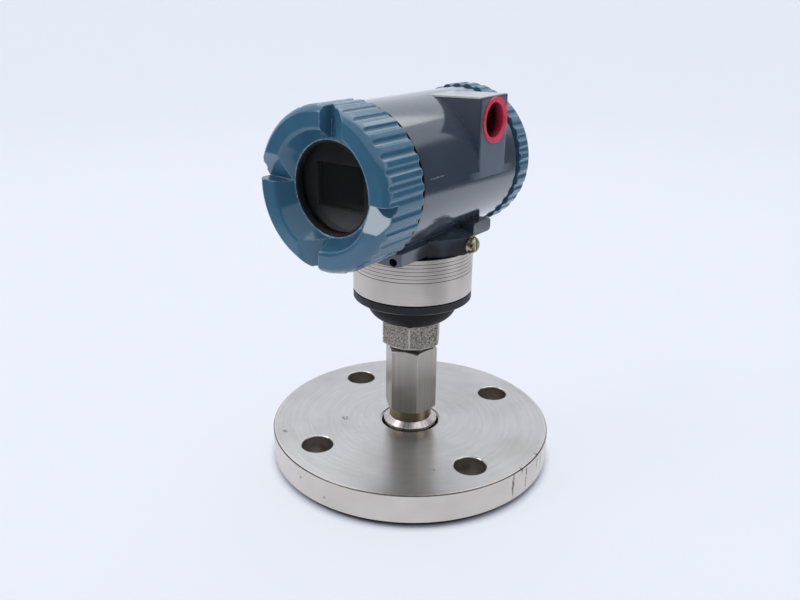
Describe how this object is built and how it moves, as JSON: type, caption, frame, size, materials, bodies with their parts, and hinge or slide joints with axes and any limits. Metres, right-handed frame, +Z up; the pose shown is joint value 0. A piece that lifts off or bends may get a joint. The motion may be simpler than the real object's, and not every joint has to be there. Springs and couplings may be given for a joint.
{
  "type": "pressure transmitter",
  "caption": "Pressure transmitter with a painted two-compartment housing, fluted covers and display window, on a hexagonal stem and a flanged diaphragm seal.",
  "frame": {"origin": "middle of the seal's raised face, on the floor", "axes": "+Z up the stem; the display window looks along -Y; +X is the side of the open conduit entry"},
  "size_m": [0.165, 0.165, 0.2145],
  "materials": {
    "flange_steel": "turned and lightly stained",
    "machined_steel": "machined",
    "cast_steel": "sand cast",
    "band_steel": "satin rolled strip",
    "slate_paint": "gloss polyurethane on die-cast aluminium",
    "blue_paint": "gloss polyurethane on die-cast aluminium",
    "black_polymer": "moulded",
    "seal_rubber": "moulded",
    "window_glass": "polished",
    "red_plastic": "moulded",
    "screw_brass": "turned",
    "zinc_steel": "zinc plated",
    "potting": "cast resin",
    "display_glass": "polarised panel",
    "circuit_board": "lacquered",
    "terminal_plastic": "moulded"
  },
  "bodies": {
    "seal_stem": {"seal_hub": "flange_steel", "seal_diaphragm": "flange_steel", "hex_adapter": "machined_steel", "process_hex": "cast_steel", "module_base": "black_polymer", "sensor_module": "slate_paint", "module_o_ring": "seal_rubber", "nameplate_band": "band_steel", "pressure_capsule": "machined_steel", "sensor_board": "circuit_board"},
    "flange": {"mounting_flange": "flange_steel"},
    "housing": {"housing": "slate_paint", "ground_washer": "screw_brass", "ground_screw": "screw_brass", "rotation_set_screw": "zinc_steel", "electronics_module": "potting", "electronics_screws": "zinc_steel", "display_carrier": "black_polymer", "display_panel": "display_glass", "feedthrough": "potting", "terminal_block": "terminal_plastic", "terminal_screws": "zinc_steel", "terminal_mount_screws": "zinc_steel", "inner_ground_screw": "zinc_steel", "blank_plug": "zinc_steel"},
    "front_seal_ring": {"front_cover_o_ring": "seal_rubber"},
    "front_cover": {"front_cover": "blue_paint", "window_gasket": "seal_rubber", "window_glass": "window_glass", "window_retainer": "zinc_steel"},
    "rear_seal_ring": {"rear_cover_o_ring": "seal_rubber"},
    "rear_cover": {"rear_cover": "blue_paint"},
    "conduit_plug": {"conduit_plug": "red_plastic"}
  },
  "joints": [
    {"name": "flange_turn", "type": "hinge", "parent": "seal_stem", "child": "flange", "pos_m": [0, 0, 0.0115], "axis": [0, 0, 1], "continuous": true},
    {"name": "housing_swivel", "type": "hinge", "parent": "seal_stem", "child": "housing", "pos_m": [0, 0, 0.138], "axis": [0, 0, 1], "range_deg": [-180, 180]},
    {"name": "front_cover_travel", "type": "slide", "parent": "housing", "child": "front_seal_ring", "axis": [0, -1, 0], "range_m": [0, 0.01201]},
    {"name": "front_cover_turn", "type": "hinge", "parent": "front_seal_ring", "child": "front_cover", "pos_m": [0, -0.049, 0.174], "axis": [0, -1, 0], "range_deg": [0, 2160]},
    {"name": "rear_cover_travel", "type": "slide", "parent": "housing", "child": "rear_seal_ring", "axis": [0, 1, 0], "range_m": [0, 0.01201]},
    {"name": "rear_cover_turn", "type": "hinge", "parent": "rear_seal_ring", "child": "rear_cover", "pos_m": [0, 0.0448, 0.174], "axis": [0, 1, 0], "range_deg": [0, 2160]},
    {"name": "conduit_plug_pull", "type": "slide", "parent": "housing", "child": "conduit_plug", "axis": [1, 0, 0], "range_m": [0, 0.018]}
  ],
  "couplings": [
    {"joint": "front_cover_travel", "follows": "front_cover_turn", "m_per_rad": 0.00031831},
    {"joint": "rear_cover_travel", "follows": "rear_cover_turn", "m_per_rad": 0.00031831}
  ]
}
